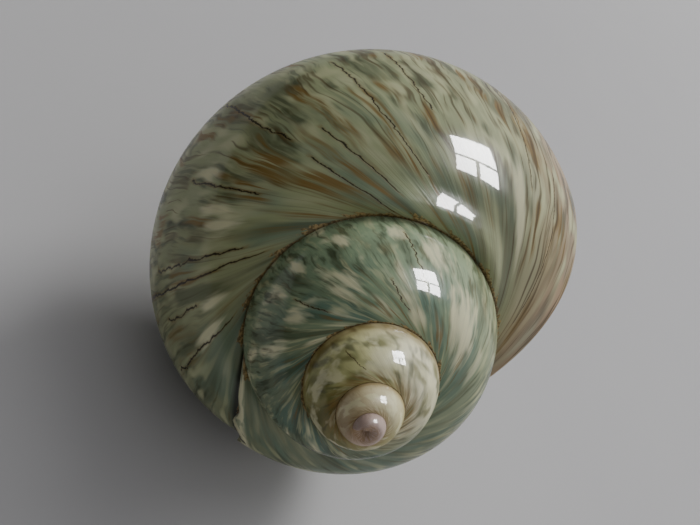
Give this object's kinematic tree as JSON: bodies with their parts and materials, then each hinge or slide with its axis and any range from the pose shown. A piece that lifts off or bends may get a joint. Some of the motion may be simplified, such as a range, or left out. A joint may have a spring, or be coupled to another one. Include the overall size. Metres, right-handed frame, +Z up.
{
  "type": "polished turban shell",
  "caption": "Hollow, coiled sea shell with a short pointed spire, a large rounded last whorl and a round open mouth, lying on its side.",
  "frame": {"origin": "on the floor under the middle of the shell's bounding box, as the shell lies at rest", "axes": "+Z up, +Y along the longest extent, which is the way the picture's camera looks, +X to the picture's right"},
  "size_m": [0.0496, 0.0634, 0.0458],
  "materials": {
    "polished_shell": "polished natural shell, glossy: grey-green with cream blotches, brown streaks along the growth lines and fine dark cracks"
  },
  "bodies": {
    "root": {"turban_shell": "polished_shell"}
  },
  "joints": []
}
